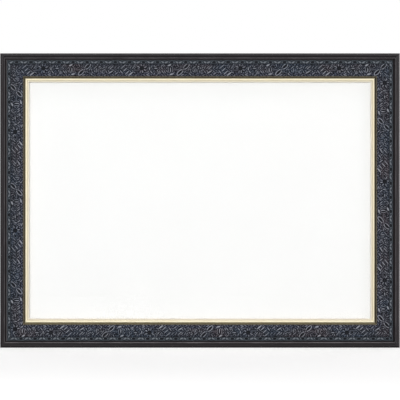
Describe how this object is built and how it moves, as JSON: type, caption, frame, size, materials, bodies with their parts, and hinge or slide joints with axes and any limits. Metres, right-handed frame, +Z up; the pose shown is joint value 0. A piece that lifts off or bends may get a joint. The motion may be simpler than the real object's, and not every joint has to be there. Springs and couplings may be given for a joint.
{
  "type": "jigsaw puzzle frame",
  "caption": "Wall frame for a jigsaw puzzle: mitred relief rails with gilt slips, clear sheet, lift-out back panel, turn buttons and strap hangers.",
  "frame": {"origin": "middle of the whole frame's box, wall bumpers included", "axes": "+X along the frame's length, +Z up, the front faces -Y and the wall is at +Y"},
  "size_m": [0.854, 0.0288, 0.629],
  "materials": {
    "rail_lacquer": "dark brown-black satin lacquer",
    "relief": "pressed composition, slate blue-grey with rubbed highlights",
    "gilt": "pale gilt, satin",
    "steel": "bare steel",
    "zinc": "zinc plated",
    "brass_plate": "brass plated steel, satin",
    "bumper_rubber": "soft grey rubber",
    "clear_sheet": "clear polished sheet",
    "card": "white card",
    "hardboard": "brown hardboard, smooth face out"
  },
  "bodies": {
    "frame": {"rail_top": "rail_lacquer", "rail_bottom": "rail_lacquer", "rail_left": "rail_lacquer", "rail_right": "rail_lacquer", "relief_strip_top": "relief", "relief_strip_bottom": "relief", "relief_strip_left": "relief", "relief_strip_right": "relief", "gilt_slip_top": "gilt", "gilt_slip_bottom": "gilt", "gilt_slip_left": "gilt", "gilt_slip_right": "gilt", "front_sheet": "clear_sheet", "corner_nail_top_left_1": "steel", "corner_nail_top_left_2": "steel", "corner_nail_top_right_1": "steel", "corner_nail_top_right_2": "steel", "corner_nail_bottom_left_1": "steel", "corner_nail_bottom_left_2": "steel", "corner_nail_bottom_right_1": "steel", "corner_nail_bottom_right_2": "steel", "button_screw_top_1": "zinc", "button_screw_top_2": "zinc", "button_screw_top_3": "zinc", "button_screw_bottom_1": "zinc", "button_screw_bottom_2": "zinc", "button_screw_bottom_3": "zinc", "button_screw_left_1": "zinc", "button_screw_left_2": "zinc", "button_screw_right_1": "zinc", "button_screw_right_2": "zinc", "hanger_strap_left": "zinc", "hanger_strap_right": "zinc", "hanger_screw_left_1": "zinc", "hanger_screw_left_2": "zinc", "hanger_screw_right_1": "zinc", "hanger_screw_right_2": "zinc", "wall_bumper_left": "bumper_rubber", "wall_bumper_right": "bumper_rubber"},
    "back_panel": {"backing_board": "hardboard", "mount_sheet": "card"},
    "button_top_1": {"turn_button_top_1": "brass_plate"},
    "button_top_2": {"turn_button_top_2": "brass_plate"},
    "button_top_3": {"turn_button_top_3": "brass_plate"},
    "button_bottom_1": {"turn_button_bottom_1": "brass_plate"},
    "button_bottom_2": {"turn_button_bottom_2": "brass_plate"},
    "button_bottom_3": {"turn_button_bottom_3": "brass_plate"},
    "button_left_1": {"turn_button_left_1": "brass_plate"},
    "button_left_2": {"turn_button_left_2": "brass_plate"},
    "button_right_1": {"turn_button_right_1": "brass_plate"},
    "button_right_2": {"turn_button_right_2": "brass_plate"},
    "ring_left": {"hanger_ring_left": "zinc"},
    "ring_right": {"hanger_ring_right": "zinc"}
  },
  "joints": [
    {"name": "panel_lift_out", "type": "slide", "parent": "frame", "child": "back_panel", "axis": [0, 1, 0], "range_m": [0, 0.15]},
    {"name": "turn_top_1", "type": "hinge", "parent": "frame", "child": "button_top_1", "pos_m": [0.25, 0.0085, 0.2655], "axis": [0, 1, 0], "range_deg": [-90, 90]},
    {"name": "turn_top_2", "type": "hinge", "parent": "frame", "child": "button_top_2", "pos_m": [0, 0.0085, 0.2655], "axis": [0, 1, 0], "range_deg": [-90, 90]},
    {"name": "turn_top_3", "type": "hinge", "parent": "frame", "child": "button_top_3", "pos_m": [-0.25, 0.0085, 0.2655], "axis": [0, 1, 0], "range_deg": [-90, 90]},
    {"name": "turn_bottom_1", "type": "hinge", "parent": "frame", "child": "button_bottom_1", "pos_m": [-0.25, 0.0085, -0.2655], "axis": [0, 1, 0], "range_deg": [-90, 90]},
    {"name": "turn_bottom_2", "type": "hinge", "parent": "frame", "child": "button_bottom_2", "pos_m": [0, 0.0085, -0.2655], "axis": [0, 1, 0], "range_deg": [-90, 90]},
    {"name": "turn_bottom_3", "type": "hinge", "parent": "frame", "child": "button_bottom_3", "pos_m": [0.25, 0.0085, -0.2655], "axis": [0, 1, 0], "range_deg": [-90, 90]},
    {"name": "turn_left_1", "type": "hinge", "parent": "frame", "child": "button_left_1", "pos_m": [-0.378, 0.0085, 0.11], "axis": [0, 1, 0], "range_deg": [-90, 90]},
    {"name": "turn_left_2", "type": "hinge", "parent": "frame", "child": "button_left_2", "pos_m": [-0.378, 0.0085, -0.11], "axis": [0, 1, 0], "range_deg": [-90, 90]},
    {"name": "turn_right_1", "type": "hinge", "parent": "frame", "child": "button_right_1", "pos_m": [0.378, 0.0085, -0.11], "axis": [0, 1, 0], "range_deg": [-90, 90]},
    {"name": "turn_right_2", "type": "hinge", "parent": "frame", "child": "button_right_2", "pos_m": [0.378, 0.0085, 0.11], "axis": [0, 1, 0], "range_deg": [-90, 90]},
    {"name": "swing_ring_left", "type": "hinge", "parent": "frame", "child": "ring_left", "pos_m": [-0.389, 0.0102, 0.16], "axis": [0, 0, 1], "range_deg": [0, 160]},
    {"name": "swing_ring_right", "type": "hinge", "parent": "frame", "child": "ring_right", "pos_m": [0.389, 0.0102, 0.16], "axis": [0, 0, -1], "range_deg": [0, 160]}
  ]
}
